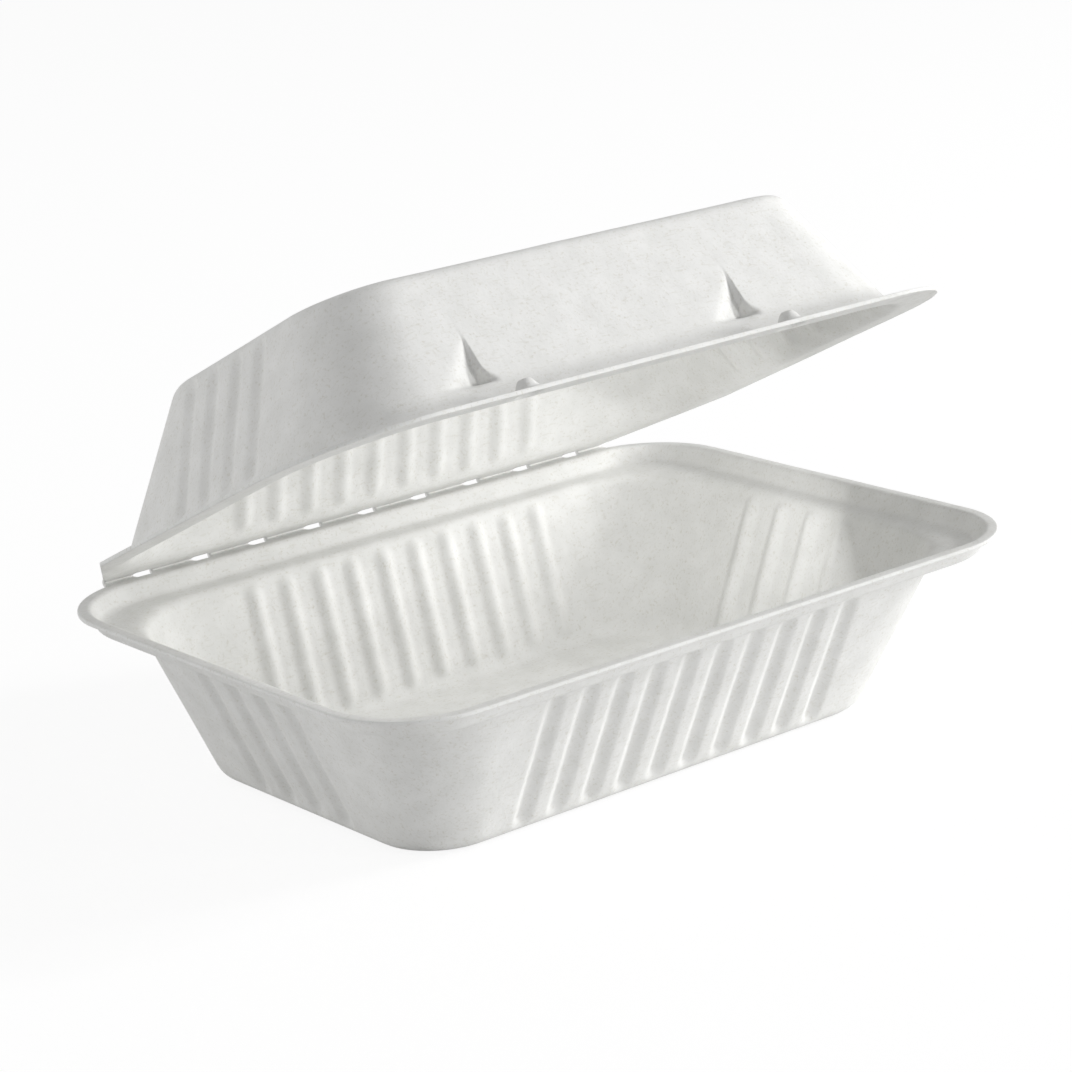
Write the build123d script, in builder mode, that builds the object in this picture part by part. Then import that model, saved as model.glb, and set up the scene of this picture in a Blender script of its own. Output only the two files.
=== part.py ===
from build123d import *
from collections import namedtuple
from math import atan2, cos, hypot, radians, sin, tan
import os

# A hinged food box pressed from plant fibre: a fluted tray and a lid that fold together along the back.
# X runs along the box, the fold is at +Y, and the tray stands on Z = 0.

# Overall sizes, in millimetres
flange_length = 181.0
flange_depth = 131.0
flange_corner = 22.0
base_height = 41.5
lid_height = 32.5
wall = 1.0
# An inside outline is an outside one moved by the wall in height and by this share of it sideways,
# which keeps floor, ledge and drafted walls at about one thickness.
let_in_share = 0.7
# Every corner is pressed in this many narrow flats
corner_flats = 8

# The fold, and how far the lid stands open at rest
open_angle = 25.0
fold_length = 146.0
fold_strip = 1.3
rim_gap = 0.3
fold_clearance = 0.3
perforation_count = 9
perforation_pitch = 15.75
perforation_length = 5.0
perforation_width = 2.8

# Tray, outside: insets from the flange's outer edge to the floor, the ledge, the riser and the lip,
# and how far each turn of the section is eased
floor_end_inset = 24.7
floor_front_inset = 26.6
floor_back_inset = 18.8
floor_corner = 15.0
floor_ease = 3.6
ledge_drop = 5.5
ledge_rise = 0.6
ledge_inset = 9.2
ledge_corner = 25.0
ledge_ease = 1.7
riser_inset = 4.3
riser_ease = 1.0
lip_inset = 2.1
lip_ease = 0.9

# Lid, outside: the flange's corners, how far up its ends the back corners are trimmed towards the fold,
# and the insets to the foot of the wall and to the top panel
lid_corner = 30.0
lid_trim = 31.5
lid_foot_inset = 9.0
lid_foot_corner = 25.0
lid_foot_ease = 2.8
top_end_inset = 24.2
top_front_inset = 20.0
top_back_inset = 31.8
top_corner = 17.6
top_ease = 2.8

# Flutes: upright grooves pressed into the walls from outside, which stand as ribs inside
flute_width = 5.8
flute_waist = 3.8
flute_bed = 1.6
flute_depth = 1.25
flute_waist_depth = 0.75
flute_foot = 1.6
flute_head = 1.0
flute_overrun = 0.6
side_flute_count = 10
side_flute_pitch = 9.2
end_flute_count = 4
end_flute_pitch = 10.3

# Latch pockets in the front of the lid: each starts above the flange and is deepest at its right end,
# where a face square to the rim flares out at its foot. A raised button stands on the flange beside it.
pocket_ends = (-42.3, 29.3)
pocket_length = 15.0
pocket_depth = 5.3
pocket_foot = 5.4
pocket_flare = 5.0
pocket_flare_height = 5.0
button_radius = 3.0
button_top_radius = 1.5
button_height = 2.4
button_inset = 3.9

Level = namedtuple("Level", "height ends front back corner")

let_in_by = let_in_share * wall
fold_y = (flange_depth + fold_strip) / 2
fold_z = base_height + rim_gap / 2
lean = radians(open_angle)
half_length = flange_length / 2
half_depth = flange_depth / 2
lid_front = -half_depth
lid_wall_foot = lid_front + lid_foot_inset
# An inside flute is let out by this much on every side, which keeps the wall's thickness on its slopes
flute_let_out = wall * tan(atan2(flute_waist_depth, (flute_width - flute_waist) / 2) / 2)

# Each frame has its origin at the middle of the flange's outline, at the tray's floor and at the lid's rim
base_frame = Plane((0, -fold_strip / 2, 0))
fold_frame = Plane((0, fold_y, fold_z), x_dir=(1, 0, 0), z_dir=(0, sin(lean), cos(lean)))
lid_frame = Plane(fold_frame.location * Location((0, -half_depth - fold_strip, rim_gap / 2)))


def parallel(height, inset):
    """A level whose outline runs parallel to the flange's outer edge."""
    return Level(height, inset, inset, inset, flange_corner - inset)


def drawn_in(level, distance):
    """A level at the same height, with its outline drawn in all round."""
    return Level(
        level.height,
        level.ends + distance,
        level.front + distance,
        level.back + distance,
        level.corner - distance,
    )


def lining(levels, lift):
    """The inside levels that belong to outside ones."""
    return [drawn_in(level, let_in_by)._replace(height=level.height + lift) for level in levels]


def between(start, end, share):
    """The level a share of the way from one level to another."""
    return Level(*(low + (high - low) * share for low, high in zip(start, end)))


def eased(before, turn, after, ease):
    """One turn of the section, pressed soft as two flats."""
    first = between(turn, before, ease / hypot(before.height - turn.height, before.ends - turn.ends))
    last = between(turn, after, ease / hypot(after.height - turn.height, after.ends - turn.ends))
    middle = between(between(first, last, 1 / 2), turn, 1 / 2)
    return [first, middle, last]


def section(levels, eases):
    """A run of levels with its turns eased. The first and the last level only give directions."""
    run = []
    for before, turn, after, ease in zip(levels, levels[1:], levels[2:], eases):
        run += eased(before, turn, after, ease)
    return run


def corners(level):
    """The points of one level's outline, each corner turned in equal flats."""
    side = half_length - level.ends - level.corner
    front = level.front + level.corner - half_depth
    back = half_depth - level.back - level.corner
    points = []
    for turn, (x, y) in enumerate(((side, back), (-side, back), (-side, front), (side, front))):
        for flat in range(corner_flats + 1):
            angle = radians(90 * (turn + flat / corner_flats))
            points.append((x + level.corner * cos(angle), y + level.corner * sin(angle), level.height))
    return points


def body(levels, frame):
    """A solid that takes the outline of each level in turn."""
    with BuildPart() as form:
        with Locations(frame.location):
            for low, high in zip(levels, levels[1:]):
                ConvexPolyhedron(corners(low) + corners(high))
    return form.part


def flange(frame, height, corner, trim):
    """The flange's outline with its half of the fold strip and the perforations."""
    back = half_depth + fold_strip
    with BuildSketch(frame.offset(height)) as sketch:
        with BuildLine():
            Polyline(*corners(Level(0, 0, 0, 0, corner)), close=True)
        make_face()
        for side in (-1, 1):
            beyond = side * (half_length + fold_strip)
            with BuildLine():
                Polyline(
                    (side * half_length, half_depth - trim),
                    (beyond, half_depth - trim),
                    (beyond, back),
                    (side * fold_length / 2, back),
                    close=True,
                )
            make_face(mode=Mode.SUBTRACT)
        strip = fold_strip - fold_clearance / 2 + flange_corner
        with Locations((0, back - fold_clearance / 2)):
            Rectangle(fold_length, strip, align=(Align.CENTER, Align.MAX))
        with Locations((0, back)):
            with GridLocations(perforation_pitch, 0, perforation_count, 1):
                SlotOverall(perforation_length, perforation_width, mode=Mode.SUBTRACT)
    return sketch.sketch


def bar(height, width, length):
    """The points of a flute's outline at one height over its bed: a bar with cut corners."""
    cut = width / 3
    points = []
    for side in (-1, 1):
        for end in (-1, 1):
            points.append((side * width / 2, end * (length / 2 - cut), height))
            points.append((side * (width / 2 - cut), end * length / 2, height))
    return points


def flute_form(length, let_out):
    """The form that presses one flute, from its bed out past the face of the wall."""
    slope = (flute_width - flute_waist) / flute_waist_depth
    mouth = flute_width + slope * flute_overrun
    rounds = (
        (0, flute_bed),
        (flute_depth - flute_waist_depth, flute_waist),
        (flute_depth + flute_overrun, mouth),
    )
    points = []
    for height, width in rounds:
        points += bar(height, width + 2 * let_out, length - flute_width + width + 2 * let_out)
    with BuildPart() as form:
        ConvexPolyhedron(points)
    return form.part


def wall_flutes(frame, foot, head, along, count, pitch):
    """Where the forms lie along one wall, and how long its flutes are."""
    up = (head - foot).normalized()
    outward = along.cross(up)
    length = (head - foot).length - flute_foot - flute_head
    middle = foot + up * (flute_foot + length / 2) - outward * flute_depth
    places = []
    for number in range(count):
        step = (number - (count - 1) / 2) * pitch
        bed = Plane(middle + along * step, x_dir=along, z_dir=outward)
        places.append(frame.location * bed.location)
    return places, length


def walls(frame, low, high, sides):
    """The flutes of the named walls between two levels."""
    middle = ((low.front + high.front) - (low.back + high.back)) / 4
    edges = {
        "left": (
            Vector(low.ends - half_length, middle, low.height),
            Vector(high.ends - half_length, middle, high.height),
            Vector(0, -1, 0),
            end_flute_count,
            end_flute_pitch,
        ),
        "right": (
            Vector(half_length - low.ends, middle, low.height),
            Vector(half_length - high.ends, middle, high.height),
            Vector(0, 1, 0),
            end_flute_count,
            end_flute_pitch,
        ),
        "front": (
            Vector(0, low.front - half_depth, low.height),
            Vector(0, high.front - half_depth, high.height),
            Vector(1, 0, 0),
            side_flute_count,
            side_flute_pitch,
        ),
        "back": (
            Vector(0, half_depth - low.back, low.height),
            Vector(0, half_depth - high.back, high.height),
            Vector(-1, 0, 0),
            side_flute_count,
            side_flute_pitch,
        ),
    }
    return [wall_flutes(frame, *edges[side]) for side in sides]


def pocket_form(end, lift, spread):
    """The form that presses one latch pocket, let out by spread on its back and its deep end."""
    left = end - pocket_length
    deep = end + spread
    back = lid_wall_foot + spread
    foot = pocket_foot + lift
    flared = ((left, lid_front), (left, back), (deep, back + pocket_depth))
    flared += ((deep + pocket_flare, back), (deep + pocket_flare, lid_front))
    square = ((left, lid_front), (left, back), (deep, back + pocket_depth), (deep, lid_front))
    rounds = ((foot, flared), (foot + pocket_flare_height, square), (lid_height + wall, square))
    plans = [[(x, y, height) for x, y in plan] for height, plan in rounds]
    with BuildPart() as form:
        with Locations(lid_frame.location):
            for low, high in zip(plans, plans[1:]):
                ConvexPolyhedron(low + high)
    return form.part


# Tray
floor = Level(0, floor_end_inset, floor_front_inset, floor_back_inset, floor_corner)
ledge = Level(base_height - ledge_drop, ledge_inset, ledge_inset, ledge_inset, ledge_corner)
base_levels = [
    drawn_in(floor, floor_ease),
    floor,
    ledge,
    parallel(ledge.height + ledge_rise, riser_inset),
    parallel(base_height - wall, lip_inset),
    parallel(base_height - wall, 0),
]
tray_levels = lining(base_levels, wall)
base_eases = (floor_ease, ledge_ease, riser_ease, lip_ease)
base_walls = ("left", "right", "front", "back")

with BuildPart() as tray_hollow:
    tray_run = section(tray_levels, base_eases)
    mouth = tray_run[-1]._replace(height=base_height + wall)
    add(body(tray_run + [mouth], base_frame))
    for places, length in walls(base_frame, tray_levels[1], tray_levels[2], base_walls):
        with Locations(*places):
            add(flute_form(length, flute_let_out), mode=Mode.SUBTRACT)

with BuildPart() as base_tray:
    add(body(section(base_levels, base_eases), base_frame))
    for places, length in walls(base_frame, floor, ledge, base_walls):
        with Locations(*places):
            add(flute_form(length, 0), mode=Mode.SUBTRACT)
    extrude(flange(base_frame, base_height - wall, flange_corner, 0), amount=wall)
    add(tray_hollow.part, mode=Mode.SUBTRACT)

# Lid
foot = Level(wall, lid_foot_inset, lid_foot_inset, lid_foot_inset, lid_foot_corner)
top = Level(lid_height, top_end_inset, top_front_inset, top_back_inset, top_corner)
lid_levels = [Level(wall, 0, 0, 0, lid_corner), foot, top, drawn_in(top, top_ease)]
cover_levels = lining(lid_levels, -wall)
lid_eases = (lid_foot_ease, top_ease)
lid_walls = ("left", "right", "back")

with BuildPart() as lid_hollow:
    cover_run = section(cover_levels, lid_eases)
    mouth = cover_run[0]._replace(height=-wall)
    add(body([mouth] + cover_run, lid_frame))
    for places, length in walls(lid_frame, cover_levels[1], cover_levels[2], lid_walls):
        with Locations(*places):
            add(flute_form(length, flute_let_out), mode=Mode.SUBTRACT)
    for end in pocket_ends:
        add(pocket_form(end, -wall, wall), mode=Mode.SUBTRACT)

button_places = []
for end in pocket_ends:
    button = Location((end + wall / 2 + button_radius, lid_front + button_inset, 0))
    button_places.append(lid_frame.location * button)

with BuildPart() as lid:
    add(body(section(lid_levels, lid_eases), lid_frame))
    for places, length in walls(lid_frame, foot, top, lid_walls):
        with Locations(*places):
            add(flute_form(length, 0), mode=Mode.SUBTRACT)
    extrude(flange(lid_frame, 0, lid_corner, lid_trim), amount=wall)
    add(lid_hollow.part, mode=Mode.SUBTRACT)
    for end in pocket_ends:
        add(pocket_form(end, 0, 0), mode=Mode.SUBTRACT)
    low_end = (Align.CENTER, Align.CENTER, Align.MIN)
    with Locations(*button_places):
        Cone(button_radius, button_top_radius, button_height + wall, align=low_end)
        hollow_radii = (button_radius - wall, button_top_radius - wall)
        Cone(*hollow_radii, button_height, align=low_end, mode=Mode.SUBTRACT)

base_tray.part.label = "base_tray"
lid.part.label = "lid"

os.makedirs("parts", exist_ok=True)
export_step(base_tray.part, "parts/base_tray.step")
export_step(lid.part, "parts/lid.step")
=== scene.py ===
# %% [markdown]
# # A hinged food box pressed from plant fibre
# The object is one sheet of wet fibre pulp, pressed between two heated moulds and dried. It has a
# deep tray, a lid and a perforated fold between them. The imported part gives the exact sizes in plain
# flats. Here the same sections are drawn again with soft turns, because felted fibre never shows a
# hard facet.

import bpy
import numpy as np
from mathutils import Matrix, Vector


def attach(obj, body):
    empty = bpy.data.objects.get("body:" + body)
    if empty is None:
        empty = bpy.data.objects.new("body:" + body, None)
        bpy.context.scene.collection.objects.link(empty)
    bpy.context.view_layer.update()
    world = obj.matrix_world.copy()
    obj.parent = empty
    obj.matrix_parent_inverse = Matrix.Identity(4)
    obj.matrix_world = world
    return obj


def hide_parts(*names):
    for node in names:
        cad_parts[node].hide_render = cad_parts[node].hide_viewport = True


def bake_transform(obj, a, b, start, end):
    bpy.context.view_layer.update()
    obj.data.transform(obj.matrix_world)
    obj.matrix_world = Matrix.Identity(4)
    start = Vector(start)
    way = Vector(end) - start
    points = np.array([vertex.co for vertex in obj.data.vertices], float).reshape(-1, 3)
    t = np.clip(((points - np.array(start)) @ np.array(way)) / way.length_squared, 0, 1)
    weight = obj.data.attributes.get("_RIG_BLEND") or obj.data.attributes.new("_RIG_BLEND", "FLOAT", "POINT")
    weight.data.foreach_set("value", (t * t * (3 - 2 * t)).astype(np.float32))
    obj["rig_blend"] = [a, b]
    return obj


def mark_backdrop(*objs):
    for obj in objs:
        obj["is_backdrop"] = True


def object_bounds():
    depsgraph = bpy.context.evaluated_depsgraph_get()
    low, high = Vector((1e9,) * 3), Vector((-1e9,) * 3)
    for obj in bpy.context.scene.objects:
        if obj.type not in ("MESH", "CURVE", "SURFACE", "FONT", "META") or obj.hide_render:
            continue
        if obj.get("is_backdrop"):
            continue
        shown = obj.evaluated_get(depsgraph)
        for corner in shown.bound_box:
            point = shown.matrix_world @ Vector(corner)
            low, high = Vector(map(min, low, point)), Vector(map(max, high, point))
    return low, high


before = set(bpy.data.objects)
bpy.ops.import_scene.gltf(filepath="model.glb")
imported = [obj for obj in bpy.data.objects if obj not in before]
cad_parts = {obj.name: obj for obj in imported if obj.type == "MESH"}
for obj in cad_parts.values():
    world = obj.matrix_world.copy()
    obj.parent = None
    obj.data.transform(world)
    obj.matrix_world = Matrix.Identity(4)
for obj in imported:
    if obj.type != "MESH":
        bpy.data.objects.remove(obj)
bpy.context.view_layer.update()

# %% [markdown]
# ## The fibre itself
# Pulp is matt and nearly white, with cloudy patches where the fibres settled thicker and short specks
# and hairs on the face. A picture texture would have to be wrapped round every flute. Noise in the
# object's own space needs no wrapping, so the finish is mixed from three noises: clouds, specks and
# stretched hairs. A fourth one roughens the face.

# %% A matt material, and noises for it
import bpy

fiber = bpy.data.materials.new("pressed_fiber")
fiber.use_nodes = True
shade = fiber.node_tree
skin = shade.nodes["Principled BSDF"]
skin.inputs["Roughness"].default_value = 0.9
skin.inputs["Specular IOR Level"].default_value = 0.2


def noise(scale, detail, stretch=(1, 1, 1), turned=(0, 0, 0)):
    """A noise over the object's own space, in cycles to the metre, stretched for hairs."""
    place = shade.nodes.new("ShaderNodeTexCoord")
    turn = shade.nodes.new("ShaderNodeMapping")
    turn.inputs["Scale"].default_value = stretch
    turn.inputs["Rotation"].default_value = turned
    made = shade.nodes.new("ShaderNodeTexNoise")
    made.inputs["Scale"].default_value = scale
    made.inputs["Detail"].default_value = detail
    shade.links.new(place.outputs["Object"], turn.inputs["Vector"])
    shade.links.new(turn.outputs["Vector"], made.inputs["Vector"])
    return made.outputs["Fac"]


print("finish", fiber.name, "has a roughness of", round(skin.inputs["Roughness"].default_value, 2))

# %% Clouds, specks and hairs


def tint(value, low, high, dark, pale):
    """A ramp that turns a noise into a tint."""
    ramp = shade.nodes.new("ShaderNodeValToRGB")
    for stop, at, colour in zip(ramp.color_ramp.elements, (low, high), (dark, pale)):
        stop.position = at
        stop.color = (*colour, 1)
    shade.links.new(value, ramp.inputs["Fac"])
    return ramp.outputs["Color"]


def laid_over(under, over):
    """Two tints multiplied."""
    mix = shade.nodes.new("ShaderNodeMix")
    mix.data_type = "RGBA"
    mix.blend_type = "MULTIPLY"
    mix.inputs["Factor"].default_value = 1
    shade.links.new(under, mix.inputs["A"])
    shade.links.new(over, mix.inputs["B"])
    return mix.outputs["Result"]


bare = (1, 1, 1)
clouds = tint(noise(170, 3), 0.3, 0.7, dark=(0.805, 0.805, 0.787), pale=(0.87, 0.87, 0.856))
specks = tint(noise(1500, 2), 0.28, 0.42, dark=(0.90, 0.89, 0.86), pale=bare)
hair = noise(420, 1, stretch=(1, 6, 3), turned=(0.5, 0.3, 0.9))
hairs = tint(hair, 0.30, 0.40, dark=(0.95, 0.945, 0.93), pale=bare)
shade.links.new(laid_over(laid_over(clouds, specks), hairs), skin.inputs["Base Color"])
grain = shade.nodes.new("ShaderNodeBump")
grain.inputs["Strength"].default_value = 0.35
grain.inputs["Distance"].default_value = 0.0002
shade.links.new(noise(900, 4), grain.inputs["Height"])
shade.links.new(grain.outputs["Normal"], skin.inputs["Normal"])
print("finish", fiber.name, "has", len(shade.nodes), "nodes")

# %% [markdown]
# ## One section, carried round
# Tray and lid are each one wall of pulp about a millimetre thick, which runs from the flat floor up a
# leaning wall to the rim. One could bend a sheet or bevel a box. A run of rounded outlines, one over
# another, is closer to the mould: each level says how high it is, how far it lies in from the rim at
# the ends, front and back, and how round its corners are.

# %% Outlines one over another
import numpy as np

half_length, half_depth, rim_corner = 90.5, 65.5, 22.0


def level(height, ends, front=None, back=None, corner=None, rounder=0):
    """One outline in millimetres: its height, its insets from the rim and its corner.

    With only a height and one inset it runs parallel to the rim. The front corners can be rounder.
    """
    if front is None:
        front, back, corner = ends, ends, rim_corner - ends
    return np.array([height, ends, front, back, corner, rounder], float)


def drawn_in(outline, by, lift=0):
    """The same outline, drawn in all round and lifted."""
    return outline + np.array([lift, by, by, by, -by, 0])


def softened(levels, eases, spans, steps=7):
    """All outlines of a section, with each turn rounded and each straight run divided."""
    rings = []
    for number, ease in enumerate(eases):
        before, turn, after = levels[number : number + 3]
        first, last = (turn + (far - turn) * ease / np.hypot(*(far - turn)[:2]) for far in (before, after))
        if rings:
            run = rings[-1]
            rings += [run + (first - run) * share for share in np.linspace(0, 1, spans[number] + 1)[1:-1]]
        shares = np.linspace(0, 1, steps + 1)
        rings += [(1 - s) ** 2 * first + 2 * s * (1 - s) * turn + s**2 * last for s in shares]
    return np.array(rings)


print("rim outline:", level(0, 0))

# %% The tray's section
wall, let_in, floor_margin, edge_ease = 1.0, 0.7, 9.0, 0.42
base_height, lip_under = 41.5, 40.5
floor = level(0, 24.7, 26.6, 18.8, 15.0)
ledge = level(36.0, 9.2, 9.2, 9.2, 25.0)
riser_foot, riser_head = level(36.6, 4.3), level(lip_under, 2.1)
tray_out = [floor, ledge, riser_foot, riser_head]
tray_eases = [3.6, 1.7, 1.0, 0.9]
tray_in = [drawn_in(outline, let_in, wall) for outline in tray_out]
tray_edge = [level(lip_under, 0), level(base_height, 0)]
tray_path = [drawn_in(floor, floor_margin), *tray_out, *tray_edge]
tray_path += [*tray_in[::-1], drawn_in(tray_in[0], floor_margin)]
tray_spans = [0, 44, 3, 4, 2, 1, 2, 4, 3, 44]
tray_rings = softened(tray_path, tray_eases + [edge_ease] * 2 + tray_eases[::-1], tray_spans)
print("tray section has", len(tray_rings), "outlines")

# %% [markdown]
# ## Turning outlines into a skin
# The sheet has no seams, so its skin should have none. Every outline gets the same number of points,
# and the skin becomes a plain grid. A sculpted or remeshed skin would not keep its points in rows. The
# points stand close where flutes and latch steps will be pressed, and sparse elsewhere.

# %% Where the points stand
flute_reach, end_reach, column_step = 48.0, 18.8, 0.6
latch_ends = (-42.3, 29.3)
step_middle, step_clear = 0.5, 0.85
step_columns = np.array([-0.3, -0.05, 0.25, 0.7, 1.0, 1.3])
arc = np.linspace(0, np.pi / 2, 17)[1:-1]
side_columns = np.arange(-flute_reach, flute_reach + 0.1, column_step)
for end in latch_ends:
    side_columns = side_columns[abs(side_columns - end - step_middle) > step_clear]
    side_columns = np.append(side_columns, end + step_columns)
side_columns = np.sort(side_columns)
end_columns = np.linspace(-end_reach, end_reach, 63)
print(len(side_columns), "columns on a long wall,", len(end_columns), "on an end")

# %% A grid round the box


def spread_out(low, columns, high):
    """Fixed columns with three more at either side, out to where the corners start."""
    return np.concatenate([np.linspace(low, columns[0], 4)[:-1], columns, np.linspace(columns[-1], high, 4)[1:]])


def outline_points(ring, middle):
    """The points of one outline, from the front left round to the right, and the wall of each.

    The walls are 0 front, 1 right, 2 back and 3 left, and -1 at the corners.
    """
    height, ends, front, back, corner, rounder = ring
    x, near, far = half_length - ends, front - half_depth, half_depth - back
    wide = corner + rounder
    across = spread_out(near + wide, end_columns + middle, far - corner)
    front_run, back_run = (spread_out(radius - x, side_columns, x - radius) for radius in (wide, corner))
    lines = (
        (front_run, np.full_like(front_run, near)),
        (np.full_like(across, x), across),
        (back_run[::-1], np.full_like(back_run, far)),
        (np.full_like(across, -x), across[::-1]),
    )
    rounds = (
        (x - wide, near + wide, wide),
        (x - corner, far - corner, corner),
        (corner - x, far - corner, corner),
        (wide - x, near + wide, wide),
    )
    places, sides = [], []
    for side, (line, (centre_x, centre_y, radius)) in enumerate(zip(lines, rounds)):
        turn = arc + np.pi / 2 * (side - 1)
        bend = np.stack([centre_x + radius * np.cos(turn), centre_y + radius * np.sin(turn)], 1)
        places += [np.stack(line, 1), bend]
        sides += [side] * len(line[0]) + [-1] * len(arc)
    flat = np.concatenate(places)
    return np.column_stack([flat, np.full(len(flat), height)]), np.array(sides)


def pressed_grid(rings, middle):
    """The points of all outlines, as rings by columns, and the wall of each column."""
    made = [outline_points(ring, middle) for ring in rings]
    return np.array([points for points, _ in made]), made[0][1]


tray_middle = (floor[2] + ledge[2] - floor[3] - ledge[3]) / 4
tray_grid, wall_of = pressed_grid(tray_rings, tray_middle)
print("tray grid", tray_grid.shape[:2], "points")

# %% [markdown]
# ## Notes on the points
# The mould presses flutes square to each wall, and it leaves the sheet a little uneven. The nodes that
# do this further down have to know where a point lies on its wall and which way the mould pressed it.
# It could be guessed there from the normals. It is noted here, while the four walls are still known
# apart, and the mesh carries the notes as attributes.

# %% Notes for the flutes
MM = 0.001
foot_fade, fold_fade, fold_margin = 8.0, 4.0, 1.0


def flute_notes(grid, sides, foot, head, middle, lift, inner_from, fluted):
    """For each point: place along the wall, way up from the foot, way to the head, and the mould's way."""
    share = (grid[..., 2] - foot[0]) / (head[0] - foot[0])
    share[inner_from:] = (grid[inner_from:, :, 2] - foot[0] - lift) / (head[0] - foot[0])
    notes = {name: np.zeros(grid.shape[:2]) for name in ("along", "rise", "fall", "fluted", "end_wall")}
    press = np.zeros_like(grid)
    for side in range(4):
        inset = (foot - head)[(2, 1, 3, 1)[side]]
        slant = np.hypot(inset, head[0] - foot[0])
        here = sides == side
        notes["along"][:, here] = grid[:, here, 0] if side in (0, 2) else grid[:, here, 1] - middle
        notes["rise"][:, here] = share[:, here] * slant
        notes["fall"][:, here] = (1 - share[:, here]) * slant
        notes["fluted"][:, here] = side in fluted
        notes["end_wall"][:, here] = side in (1, 3)
        inward = np.array(((0, 1), (-1, 0), (0, -1), (1, 0))[side]) * (head[0] - foot[0]) / slant
        press[:, here] = (*inward, inset / slant)
    for name in ("along", "rise", "fall"):
        notes[name] *= MM
    return notes, press


def away_from_fold(grid):
    """1 where the sheet may be uneven, fading to 0 at the fold, where tray and lid meet."""
    return np.clip((half_depth - fold_margin - grid[..., 1]) / fold_fade, 0, 1)


tray_turn = len(tray_rings) // 2
tray_notes, tray_press = flute_notes(
    tray_grid, wall_of, floor, ledge, tray_middle, wall, tray_turn, fluted=(0, 1, 2, 3)
)
tray_notes["uneven"] = np.clip(tray_grid[..., 2] / foot_fade, 0, 1) * away_from_fold(tray_grid)
print("notes on each point:", list(tray_notes))

# %% The tray's mesh
from mathutils import Matrix, Vector

tray_shift = -0.65


def skin_mesh(name, grid, notes, press, place):
    """A closed skin from the grid, with its notes as attributes, put in its place in the box's own frame."""
    turn = np.array(place.to_3x3())
    points = (grid.reshape(-1, 3) @ turn.T + np.array(place.translation)) * MM
    count, across = grid.shape[:2]
    index = np.arange(count * across).reshape(count, across)
    here, there = index[:-1], index[1:]
    quads = np.stack([here, np.roll(here, -1, 1), np.roll(there, -1, 1), there], -1).reshape(-1, 4)
    faces = quads.tolist() + [index[0][::-1].tolist(), index[-1].tolist()]
    mesh = bpy.data.meshes.new(name)
    mesh.from_pydata(points.tolist(), [], faces)
    for note, values in notes.items():
        mesh.attributes.new(note, "FLOAT", "POINT").data.foreach_set("value", values.ravel().astype(np.float32))
    ways = (press.reshape(-1, 3) @ turn.T).astype(np.float32)
    mesh.attributes.new("press", "FLOAT_VECTOR", "POINT").data.foreach_set("vector", ways.ravel())
    mesh.shade_smooth()
    made = bpy.data.objects.new(name, mesh)
    bpy.context.scene.collection.objects.link(made)
    return made


tray = skin_mesh("fiber_tray", tray_grid, tray_notes, tray_press, Matrix.Translation((0, tray_shift, 0)))
print(tray.name, "has", len(tray.data.polygons), "faces before pressing")

# %% [markdown]
# ## The lid
# The lid is the same kind of skin, upside down and leaning back on the fold. Its flange has rounder
# corners in front, and at the back its corners are trimmed straight to the fold's ends. A boolean could
# cut them off. Here the flange's points are drawn in to the trim line, which keeps the rows of the grid
# and the thickness of the edge.

# %% Lid section
lid_height, top_ease, foot_ease, front_rounder = 32.5, 2.8, 2.8, 8
foot = level(wall, 9.0, 9.0, 9.0, 25.0)
top = level(lid_height, 24.2, 20.0, 31.8, 17.6)
cover = [drawn_in(outline, let_in, -wall) for outline in (top, foot)]
rim = [level(height, 0, 0, 0, rim_corner, front_rounder) for height in (wall, 0)]
lid_path = [drawn_in(top, floor_margin), top, foot, *rim, *cover[::-1], drawn_in(cover[0], floor_margin)]
lid_eases = [top_ease, foot_ease, edge_ease, edge_ease, foot_ease, top_ease]
lid_rings = softened(lid_path, lid_eases, [0, 46, 12, 1, 12, 46])
lid_middle = (foot[2] + top[2] - foot[3] - top[3]) / 4
lid_grid, _ = pressed_grid(lid_rings, lid_middle)
lid_turn = len(lid_rings) // 2
lid_notes, lid_press = flute_notes(lid_grid, wall_of, foot, top, lid_middle, -wall, lid_turn, fluted=(1, 2, 3))
lid_notes["uneven"] = away_from_fold(lid_grid)
print("lid grid", lid_grid.shape[:2], "points")

# %% Back corners trimmed
fold_strip, fold_end, trim, flange_margin, least_cut = 1.3, 73.0, 31.5, 1.5, 0.01
trim_way = np.array([trim + fold_strip, half_length - fold_end])
trim_way /= np.hypot(*trim_way)
beside, behind = abs(lid_grid[..., 0]) - half_length, lid_grid[..., 1] - half_depth + trim
past_trim = beside * trim_way[0] + behind * trim_way[1]
for rows in (slice(None, lid_turn), slice(lid_turn, None)):
    flat = np.flatnonzero(lid_rings[rows, 1] < foot[1] - flange_margin) + (rows.start or 0)
    inner = flat[0] if rows.start is None else flat[-1]
    edge = np.maximum(past_trim[flat].max(0), least_cut)
    keep = np.minimum(1, -past_trim[inner] / (edge - past_trim[inner]))
    keep = np.where(lid_grid[inner, :, 1] > 0, keep, 1)[:, None]
    lid_grid[flat, :, :2] = lid_grid[inner, :, :2] + (lid_grid[flat, :, :2] - lid_grid[inner, :, :2]) * keep
print("flange trimmed by up to", round(float(past_trim.max()), 1), "mm")

# %% [markdown]
# ## Latch pockets
# Two pockets are pressed into the lid's front wall. They look like parts of a latch, though the picture
# doesn't show what they hold on to. Each is a slope that runs in from the left and ends at a sharp step
# with a flared foot. One could model a cutter and subtract it, but a mould presses and does not cut. So
# the wall's points are pushed back to the pocket's form, outside and inside by the same rule.

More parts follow.
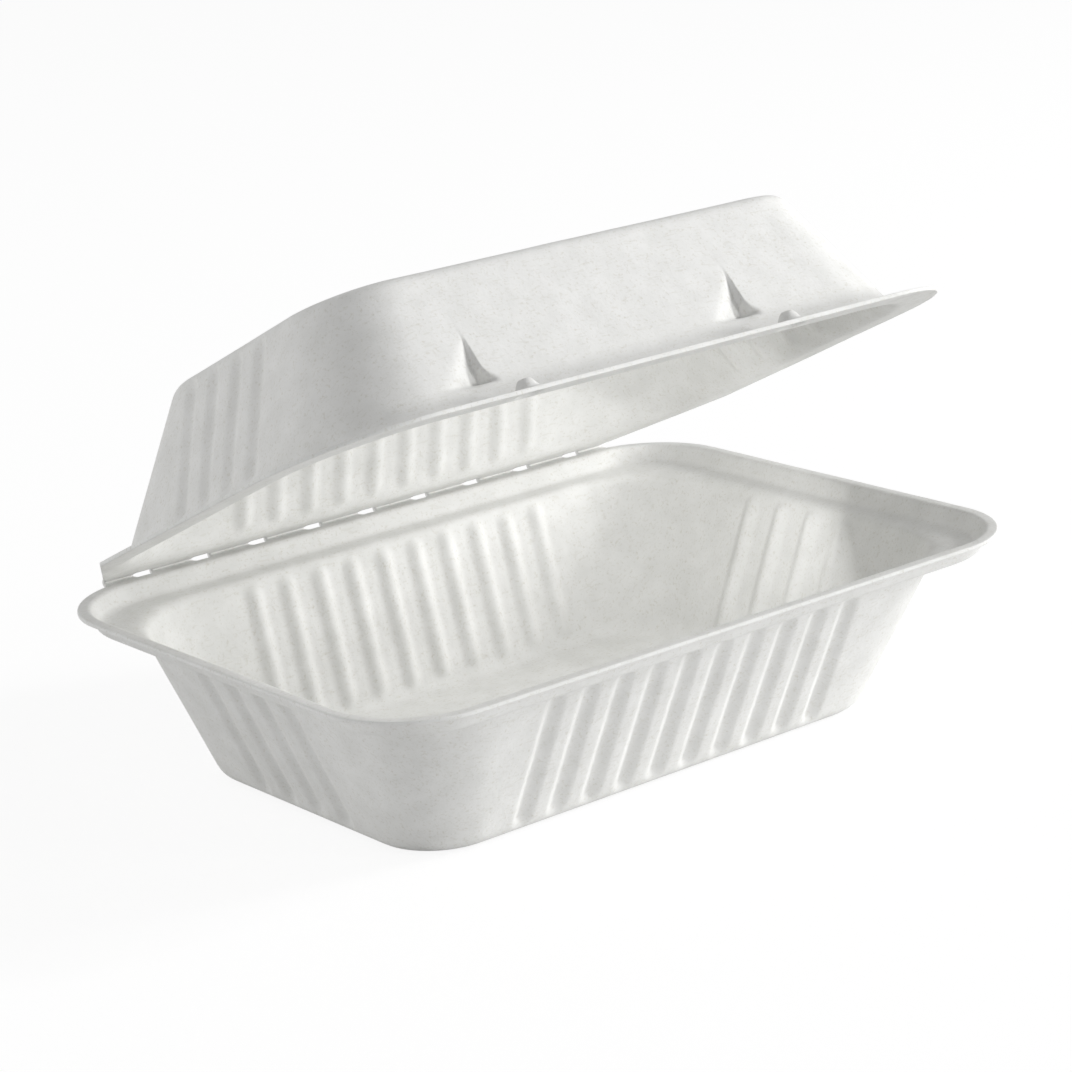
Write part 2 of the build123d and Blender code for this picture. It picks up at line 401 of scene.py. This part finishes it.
# %% Two pockets pressed into the front wall
pocket_length, pocket_depth, pocket_foot, flare, flare_height = 15.0, 5.3, 5.4, 5.0, 5.0
step_least, edge_soft, edge_reach = 0.3, 0.12, 2.0
foot_line = foot[2] - half_depth


def pocket_back(x, z, end, spread):
    """How far back one pocket reaches: a slope from the left, and a face that flares out at its foot."""
    up = np.clip((z - pocket_foot + spread) / flare_height, 0, 1)
    reach = np.maximum(flare * (1 - up) ** 2, step_least)
    slope = np.clip((x - end - spread + pocket_length) / pocket_length, 0, 1)
    face = np.clip(1 - (x - end - spread) / reach, 0, 1)
    back = foot_line + spread + pocket_depth * np.minimum(slope, face)
    return np.where(z > pocket_foot - spread, back, -half_depth)


def pressed_back(y, back):
    """A wall pressed back to a pocket, with soft edges."""
    return np.where(back > y - edge_reach, (y + back + np.sqrt((y - back) ** 2 + edge_soft)) / 2, y)


front = wall_of == 0
for rows, spread in ((slice(None, lid_turn), 0), (slice(lid_turn, None), wall)):
    x, y, z = np.moveaxis(lid_grid[rows][:, front], -1, 0)
    for end in latch_ends:
        y = np.maximum(y, pressed_back(y, pocket_back(x, z, end, spread)))
    lid_grid[rows, front] = np.stack([x, y, z], -1)
print("pockets", pocket_depth, "mm deep,", pocket_foot, "mm above the rim")

# %% [markdown]
# ## Latch buttons, and the lid in its place
# Beside each pocket the picture shows a small bump over the rim. It is taken for a hollow button on the
# flange, which is a guess. A separate cap would show a seam, so the flange's points are lifted in a
# smooth round bump, top and underside alike. Then the lid is turned open about the fold, as it stands
# in the picture.

# %% Buttons
button_height, button_foot, button_top, button_inset, button_offset = 2.4, 3.2, 1.1, 3.9, 3.5
flange_zone = 4.0
for end in latch_ends:
    near = lid_grid[:, front]
    far = np.hypot(near[..., 0] - end - button_offset, near[..., 1] + half_depth - button_inset)
    share = np.clip((button_foot - far) / (button_foot - button_top), 0, 1)
    low = near[..., 2] < flange_zone
    near[..., 2] += np.where(low, button_height * share**2 * (3 - 2 * share), 0)
    lid_grid[:, front] = near
print("buttons", button_height, "mm high")

# %% The lid's mesh
fold_y, fold_z, rim_gap, open_angle = 66.15, 41.65, 0.3, np.radians(25)
lid_place = (
    Matrix.Translation((0, fold_y, fold_z))
    @ Matrix.Rotation(-open_angle, 4, "X")
    @ Matrix.Translation((0, -half_depth - fold_strip, rim_gap / 2))
)
lid = skin_mesh("fiber_lid", lid_grid, lid_notes, lid_press, lid_place)
print(lid.name, "has", len(lid.data.polygons), "faces before pressing")

# %% [markdown]
# ## Pressing the flutes
# All walls but the lid's front are stiffened by upright flutes: grooves outside, ribs inside, ten on a
# long wall and four on an end. They repeat by a rule, so a node tree presses them: it finds the nearest
# flute for each point, measures how far the point is from that flute's middle line, and moves it along
# the noted direction. A boolean cut would leave sharp edges.

# %% A node tree, and steps of arithmetic for it
pressing = bpy.data.node_groups.new("press_flutes", "GeometryNodeTree")
pressing.interface.new_socket("Geometry", in_out="INPUT", socket_type="NodeSocketGeometry")
pressing.interface.new_socket("Geometry", in_out="OUTPUT", socket_type="NodeSocketGeometry")
flute_sizes = {
    "Side Count": 10, "Side Pitch": 0.0092, "End Count": 4, "End Pitch": 0.0103, "Width": 0.0066,
    "Depth": 0.00125, "Foot": 0.0012, "Head": 0.0006, "Waviness": 0.00022, "Seed": 4.0,
}
for name in flute_sizes:
    pressing.interface.new_socket(name, in_out="INPUT", socket_type="NodeSocketFloat")
sizes = pressing.nodes.new("NodeGroupInput").outputs


def wire(tree, target, value):
    """Links a socket, or sets it to a number."""
    if isinstance(value, bpy.types.NodeSocket):
        tree.links.new(value, target)
    else:
        target.default_value = value


def calc(tree, operation, *values):
    """One step of arithmetic."""
    step = tree.nodes.new("ShaderNodeMath")
    step.operation = operation
    for target, value in zip(step.inputs, values):
        wire(tree, target, value)
    return step.outputs[0]


print("flutes are set by", list(flute_sizes))

# %% The rule for one flute


def press(operation, *values):
    """One step of arithmetic in the pressing tree."""
    return calc(pressing, operation, *values)


def note(name, kind="FLOAT"):
    """A value noted on the points."""
    reader = pressing.nodes.new("GeometryNodeInputNamedAttribute")
    reader.data_type = kind
    reader.inputs["Name"].default_value = name
    return reader.outputs["Attribute"]


def by_wall(side, end):
    """One value on the long walls and another on the ends."""
    return press("MULTIPLY_ADD", note("end_wall"), press("SUBTRACT", end, side), side)


count = by_wall(sizes["Side Count"], sizes["End Count"])
pitch = by_wall(sizes["Side Pitch"], sizes["End Pitch"])
half_count = press("MULTIPLY", count, 0.5)
cell = press("FLOOR", press("ADD", press("DIVIDE", note("along"), pitch), half_count))
cell = press("MINIMUM", press("MAXIMUM", cell, 0.0), press("SUBTRACT", count, 1.0))
from_middle = press("SUBTRACT", press("ADD", cell, 0.5), half_count)
sideways = press("SUBTRACT", note("along"), press("MULTIPLY", from_middle, pitch))
half_width = press("MULTIPLY", sizes["Width"], 0.5)
below = press("SUBTRACT", press("ADD", sizes["Foot"], half_width), note("rise"))
above = press("SUBTRACT", press("ADD", sizes["Head"], half_width), note("fall"))
beyond = press("MAXIMUM", press("MAXIMUM", below, above), 0.0)
squares = press("ADD", press("MULTIPLY", sideways, sideways), press("MULTIPLY", beyond, beyond))
distance = press("MINIMUM", press("DIVIDE", press("SQRT", squares), half_width), 1.0)
wave = press("COSINE", press("MULTIPLY", distance, float(np.pi)))
bump = press("MULTIPLY_ADD", wave, 0.5, 0.5)
depth = press("MULTIPLY", press("MULTIPLY", bump, sizes["Depth"]), note("fluted"))
print("flute rule takes", len(pressing.nodes), "nodes")

# %% [markdown]
# ## Waviness, and running the tree
# A dried sheet is never quite flat. The same tree moves each point a little along its normal by a slow
# noise with a fixed seed. It could be a bump in the material, but then the outline would stay ruler
# straight. Each skin is then kept as a plain mesh, with its notes and the modifier gone.

# %% Helpers that move points and keep the result


def moved(tree, geometry, way, amount):
    """Points moved by an amount along a direction."""
    scale = tree.nodes.new("ShaderNodeVectorMath")
    scale.operation = "SCALE"
    tree.links.new(way, scale.inputs[0])
    wire(tree, scale.inputs["Scale"], amount)
    shift = tree.nodes.new("GeometryNodeSetPosition")
    tree.links.new(geometry, shift.inputs["Geometry"])
    tree.links.new(scale.outputs[0], shift.inputs["Offset"])
    return shift.outputs["Geometry"]


def finished(tree, geometry):
    """Instances made real, the fibre finish set, and the result given out."""
    real = tree.nodes.new("GeometryNodeRealizeInstances")
    dress = tree.nodes.new("GeometryNodeSetMaterial")
    dress.inputs["Material"].default_value = fiber
    tree.links.new(geometry, real.inputs["Geometry"])
    tree.links.new(real.outputs["Geometry"], dress.inputs["Geometry"])
    tree.links.new(dress.outputs["Geometry"], tree.nodes.new("NodeGroupOutput").inputs["Geometry"])


def made_plain(piece, tree, values):
    """Runs a node tree on a piece and keeps the result as a plain mesh."""
    modifier = piece.modifiers.new(tree.name, "NODES")
    modifier.node_group = tree
    for item in tree.interface.items_tree:
        if item.in_out == "INPUT" and item.name in values:
            modifier[item.identifier] = values[item.name]
    depsgraph = bpy.context.evaluated_depsgraph_get()
    mesh = bpy.data.meshes.new_from_object(piece.evaluated_get(depsgraph))
    piece.modifiers.clear()
    piece.data = mesh
    for attribute in [a.name for a in mesh.attributes if a.name in (*tray_notes, "press")]:
        mesh.attributes.remove(mesh.attributes[attribute])
    mesh.shade_smooth()
    return piece


print("pressing", tray.name, "and", lid.name)

# %% Both skins pressed
ripple = pressing.nodes.new("ShaderNodeTexNoise")
ripple.noise_dimensions = "4D"
ripple.inputs["Scale"].default_value = 45
pressing.links.new(sizes["Seed"], ripple.inputs["W"])
swell = press("MULTIPLY", press("SUBTRACT", ripple.outputs[0], 0.5), sizes["Waviness"])
swell = press("MULTIPLY", swell, note("uneven"))
rippled = moved(pressing, sizes["Geometry"], pressing.nodes.new("GeometryNodeInputNormal").outputs[0], swell)
finished(pressing, moved(pressing, rippled, note("press", "FLOAT_VECTOR"), depth))
for piece in (tray, lid):
    made_plain(piece, pressing, flute_sizes)
    print(piece.name, "pressed,", len(piece.data.polygons), "faces")

# %% [markdown]
# ## The perforated fold
# Along the back the sheet runs on from tray to lid, creased and punched with nine slots so that it
# bends easily. What stays between the slots is a row of small bridges. One could punch holes in a
# strip. It is easier to draw one bridge, bent round the crease and hollowed at its sides by half a
# slot, and to repeat it.

# %% The bend of the fold
sunk, overlap, bow_in, bow_out = 0.04, 0.25, 0.15, 0.80


def lid_point(y, z):
    """A point of the lid's section, in the box's own frame."""
    return np.array((lid_place @ Vector((0, y, z)))[1:])


def bent(start, middle, end, shares):
    """A soft curve from start to end through middle."""
    pull = 2 * middle - (start + end) / 2
    return np.array([(1 - s) ** 2 * start + 2 * s * (1 - s) * pull + s**2 * end for s in shares])


half_open = open_angle / 2
out_way = np.array((np.cos(half_open), -np.sin(half_open)))
crease = np.array((fold_y, fold_z))
shares = np.linspace(0, 1, 17)
tray_back, lid_back = half_depth + tray_shift - overlap, half_depth - overlap
inner_start, inner_end = np.array((tray_back, base_height - sunk)), lid_point(lid_back, sunk)
outer_start, outer_end = np.array((tray_back, lip_under + sunk)), lid_point(lid_back, wall - sunk)
inside = bent(inner_start, crease - bow_in * out_way, inner_end, shares)
outside = bent(outer_start, crease + bow_out * out_way, outer_end, shares)
print("fold is", round(float(np.hypot(*(outside - inside)[8])), 2), "mm thick at the crease")

# %% One bridge
slot_count, slot_pitch, slot_length, slot_width = 9, 15.75, 5.0, 2.8
slot_round = slot_width / 2
slot_half = slot_length / 2 - slot_round + np.sqrt(slot_round**2 - (fold_strip * (2 * shares - 1)) ** 2)
bridge_half = slot_pitch / 2 - slot_half
columns = np.linspace(-1, 1, 17)
loop = np.concatenate([inside, outside[::-1]])
widths = np.concatenate([bridge_half, bridge_half[::-1]])
points = np.array([[(c * w, *p) for p, w in zip(loop, widths)] for c in columns]).reshape(-1, 3) * MM
across = len(loop)
index = np.arange(len(columns) * across).reshape(len(columns), across)
near, far = index[:-1], index[1:]
quads = np.stack([near, np.roll(near, -1, 1), np.roll(far, -1, 1), far], -1).reshape(-1, 4).tolist()
for row, way in ((index[0], -1), (index[-1], 1)):
    pairs = [(row[i], row[i + 1], row[across - 2 - i], row[across - 1 - i]) for i in range(len(shares) - 1)]
    quads += [[int(v) for v in pair[::way]] for pair in pairs]
mesh = bpy.data.meshes.new("fold_bridge")
mesh.from_pydata(points.tolist(), [], quads)
fold = bpy.data.objects.new("fiber_fold", mesh)
bpy.context.scene.collection.objects.link(fold)
print("one bridge is", round(2 * bridge_half.min(), 2), "mm wide at the crease")

# %% [markdown]
# ## A row of bridges
# The slots stand at one pitch, so the bridges do too, and only the two at the ends are shorter. An
# array modifier would give ten equal copies. A node tree sets out points, puts a bridge on each and
# shortens the first and last to fit the fold's ends.

# %% Where the bridges stand
setting = bpy.data.node_groups.new("set_out_bridges", "GeometryNodeTree")
setting.interface.new_socket("Geometry", in_out="INPUT", socket_type="NodeSocketGeometry")
setting.interface.new_socket("Geometry", in_out="OUTPUT", socket_type="NodeSocketGeometry")
end_length = fold_end - slot_pitch * (slot_count - 1) / 2 - slot_length / 2
bridge_sizes = {
    "Bridges": slot_count + 1,
    "Pitch": slot_pitch * MM,
    "End Place": (fold_end - end_length / 2) * MM,
    "End Share": end_length / (2 * bridge_half.min()),
}
for name, value in bridge_sizes.items():
    kind = "NodeSocketInt" if isinstance(value, int) else "NodeSocketFloat"
    setting.interface.new_socket(name, in_out="INPUT", socket_type=kind)
asked = setting.nodes.new("NodeGroupInput").outputs


def set_out(operation, *values):
    """One step of arithmetic in the setting-out tree."""
    return calc(setting, operation, *values)


number = setting.nodes.new("GeometryNodeInputIndex").outputs[0]
middle = set_out("MULTIPLY", set_out("SUBTRACT", asked["Bridges"], 1.0), 0.5)
place = set_out("MULTIPLY", set_out("SUBTRACT", number, middle), asked["Pitch"])
first_place = set_out("MULTIPLY", asked["End Place"], -1.0)
held = set_out("MAXIMUM", set_out("MINIMUM", place, asked["End Place"]), first_place)
is_end = set_out("GREATER_THAN", set_out("ABSOLUTE", place), asked["End Place"])
share = set_out("MULTIPLY_ADD", is_end, set_out("SUBTRACT", asked["End Share"], 1.0), 1.0)
print("end bridges are", round(end_length, 2), "mm long")

# %% The row made
row = setting.nodes.new("GeometryNodeMeshLine")
setting.links.new(asked["Bridges"], row.inputs["Count"])
row.inputs["Offset"].default_value = (0, 0, 0)
spot, size = (setting.nodes.new("ShaderNodeCombineXYZ") for _ in range(2))
setting.links.new(held, spot.inputs["X"])
setting.links.new(share, size.inputs["X"])
size.inputs["Y"].default_value = size.inputs["Z"].default_value = 1
spots = setting.nodes.new("GeometryNodeSetPosition")
setting.links.new(row.outputs["Mesh"], spots.inputs["Geometry"])
setting.links.new(spot.outputs[0], spots.inputs["Position"])
copies = setting.nodes.new("GeometryNodeInstanceOnPoints")
setting.links.new(spots.outputs["Geometry"], copies.inputs["Points"])
setting.links.new(asked["Geometry"], copies.inputs["Instance"])
setting.links.new(size.outputs[0], copies.inputs["Scale"])
finished(setting, copies.outputs["Instances"])
made_plain(fold, setting, bridge_sizes)
print(fold.name, "has", len(fold.data.polygons), "faces")

# %% [markdown]
# ## Faces turned outward
# A printed or simulated copy needs to know inside from outside. The faces could be looked over by eye
# with face orientation switched on. Here they are turned by the program, and the volume and the count
# of open edges show that each skin is closed.

# %% Closed and outward
import bmesh


def outward(piece):
    """Turns a skin's faces outward and tells its volume."""
    work = bmesh.new()
    work.from_mesh(piece.data)
    bmesh.ops.recalc_face_normals(work, faces=work.faces)
    if work.calc_volume(signed=True) < 0:
        bmesh.ops.reverse_faces(work, faces=work.faces)
    volume = work.calc_volume(signed=True)
    open_edges = sum(not edge.is_manifold for edge in work.edges)
    work.to_mesh(piece.data)
    work.free()
    return volume, open_edges


for piece in (tray, lid, fold):
    volume, open_edges = outward(piece)
    print(piece.name, round(volume / MM**3), "cubic mm,", open_edges, "open edges")

# %% [markdown]
# ## What each piece moves with
# The tray stands still and the lid turns about the fold. The skins take the place of the packed
# solids. The row of bridges could ride on either of them and would tear off the other, so it bends
# between them: its tray edge stays, its lid edge turns, and the crease goes half the way.

# %% Riding and bending
for piece, body, node in ((tray, "tray", "base_tray"), (lid, "cover", "lid")):
    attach(piece, body)
    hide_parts(node)
bend_reach = 0.428
across_fold = np.array((np.sin(half_open), np.cos(half_open))) * bend_reach
start, end = ((0, *(crease + way * across_fold) * MM) for way in (-1, 1))
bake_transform(fold, "tray", "cover", start=start, end=end)

# %% [markdown]
# ## Light
# The box is photographed on white. A tall strip of light from the right makes the front walls bright
# and leaves the ends in shade, as a window would. A front lamp lifts the tray, and a fill from behind
# the left lifts the end walls. The open mouth would still go grey, so one tiny lamp inside, which the
# camera doesn't see, adds to the light that the pale walls throw at one another. It is a stand-in. One
# big lamp would be simpler, but it would flatten the flutes.

# %% Soft light all round
scene = bpy.context.scene
world = bpy.data.worlds.new("studio")
scene.world = world
world.use_nodes = True
air = world.node_tree
rays = air.nodes.new("ShaderNodeLightPath")
seen = calc(air, "MAXIMUM", rays.outputs["Is Camera Ray"], rays.outputs["Is Glossy Ray"])
seen = calc(air, "MAXIMUM", seen, rays.outputs["Is Transmission Ray"])
ambient = 0.45
power = calc(air, "MULTIPLY_ADD", seen, 1 - ambient, ambient)
air.nodes["Background"].inputs["Color"].default_value = (1, 1, 1, 1)
air.links.new(power, air.nodes["Background"].inputs["Strength"])
print("even light of", ambient)

# %% Lamps
look_height = 0.05


def lamp(name, azimuth, elevation, distance, size, watts):
    """A square lamp that looks at the box, placed by its direction from the front, to the right and up."""
    a, e = np.radians(azimuth), np.radians(elevation)
    way = Vector((np.sin(a) * np.cos(e), -np.cos(a) * np.cos(e), np.sin(e)))
    light = bpy.data.lights.new(name, "AREA")
    light.size, light.energy = size, watts
    holder = bpy.data.objects.new(name, light)
    holder.location = Vector((0, 0, look_height)) + way * distance
    holder.rotation_euler = way.to_track_quat("Z", "Y").to_euler()
    scene.collection.objects.link(holder)
    return holder


strip = lamp("key", azimuth=62, elevation=20, distance=1.6, size=0.15, watts=14.5)
strip.data.shape = "RECTANGLE"
strip.data.size_y = 0.7
fill = lamp("fill", azimuth=-128, elevation=6, distance=1.6, size=0.4, watts=5.4)
front_lamp = lamp("front", azimuth=36, elevation=5, distance=1.8, size=0.3, watts=9)
bounce = lamp("bounce", azimuth=0, elevation=0, distance=1, size=0.03, watts=0.019)
bounce.location = (0.053, -0.024, 0.053)
bounce_target = Vector((0.008, 0.055, 0.02))
bounce.rotation_euler = (bounce.location - bounce_target).to_track_quat("Z", "Y").to_euler()
bounce.visible_camera = False
lamps = [strip, fill, front_lamp, bounce]
print("lamps:", [(light.name, round(light.data.energy, 3)) for light in lamps])

# %% [markdown]
# ## Floor
# The picture's ground is plain white. Lighting a grey floor until it is white would burn out the pulp
# as well. So the floor is a pale grey for the light that bounces, and mostly a white of its own for the
# camera. The rest stays grey, which keeps a faint shadow under the box.

# %% White floor
white = bpy.data.materials.new("white_floor")
white.use_nodes = True
ground = white.node_tree
diffuse = ground.nodes["Principled BSDF"]
diffuse.inputs["Roughness"].default_value = 1
diffuse.inputs["Specular IOR Level"].default_value = 0
patch = ground.nodes.new("ShaderNodeTexNoise")
patch.inputs["Scale"].default_value = 3
pale = ground.nodes.new("ShaderNodeValToRGB")
for stop, grey in zip(pale.color_ramp.elements, (0.86, 0.90)):
    stop.color = (grey, grey, grey, 1)
ground.links.new(patch.outputs[0], pale.inputs["Fac"])
ground.links.new(pale.outputs["Color"], diffuse.inputs["Base Color"])
glow = ground.nodes.new("ShaderNodeEmission")
glow.inputs["Color"].default_value = (1, 1, 1, 1)
glow.inputs["Strength"].default_value = 1.09
view = ground.nodes.new("ShaderNodeLightPath")
blank = ground.nodes.new("ShaderNodeMixShader")
own_white = 0.8
ground.links.new(calc(ground, "MULTIPLY", view.outputs["Is Camera Ray"], own_white), blank.inputs["Fac"])
ground.links.new(diffuse.outputs["BSDF"], blank.inputs[1])
ground.links.new(glow.outputs["Emission"], blank.inputs[2])
ground.links.new(blank.outputs["Shader"], ground.nodes["Material Output"].inputs["Surface"])
reach = 4
sheet = bpy.data.meshes.new("floor")
sheet.from_pydata([(x * reach, y * reach, 0) for x, y in ((-1, -1), (1, -1), (1, 1), (-1, 1))], [], [(0, 1, 2, 3)])
sheet.materials.append(white)
table = bpy.data.objects.new("floor", sheet)
scene.collection.objects.link(table)
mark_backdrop(table, *lamps)
print("floor spans", table.dimensions[0], "m")

# %% [markdown]
# ## Camera
# The picture was taken from the left and a little above with a long lens, tipped by four degrees. One
# could push the camera about by eye. It is set by angles about a point in the box, which were found by
# matching the rim's corners and the standing edges to the picture.

# %% Camera at the picture's angle
turn, tip, roll = np.radians(37.8), np.radians(16.47), np.radians(-3.98)
middle_height, shift_right, shift_up, camera_distance = 50, 0.78, 1.91, 723.98
back = Vector((-np.sin(turn) * np.cos(tip), -np.cos(turn) * np.cos(tip), np.sin(tip)))
right = (-back).cross(Vector((0, 0, 1))).normalized()
up = right.cross(-back)
right, up = right * np.cos(roll) + up * np.sin(roll), up * np.cos(roll) - right * np.sin(roll)
target = Vector((0, tray_shift, middle_height)) - shift_right * right - shift_up * up
camera = bpy.data.objects.new("camera", bpy.data.cameras.new("camera"))
camera.data.sensor_width = 36
camera.data.lens = 109.5
camera.matrix_world = Matrix((right, up, back)).transposed().to_4x4()
camera.location = (target + back * camera_distance) * MM
scene.collection.objects.link(camera)
scene.camera = camera
scene.view_settings.view_transform = "Standard"
print("camera at", [round(v, 3) for v in camera.location])

# %% [markdown]
# ## Sizes kept
# The finished skins should measure what the imported part measures. The bent fold and the waviness go
# past it by less than half a millimetre. The box round all visible pieces is printed.

low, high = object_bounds()
print("visual spans", [round(v, 4) for v in high - low], "m")
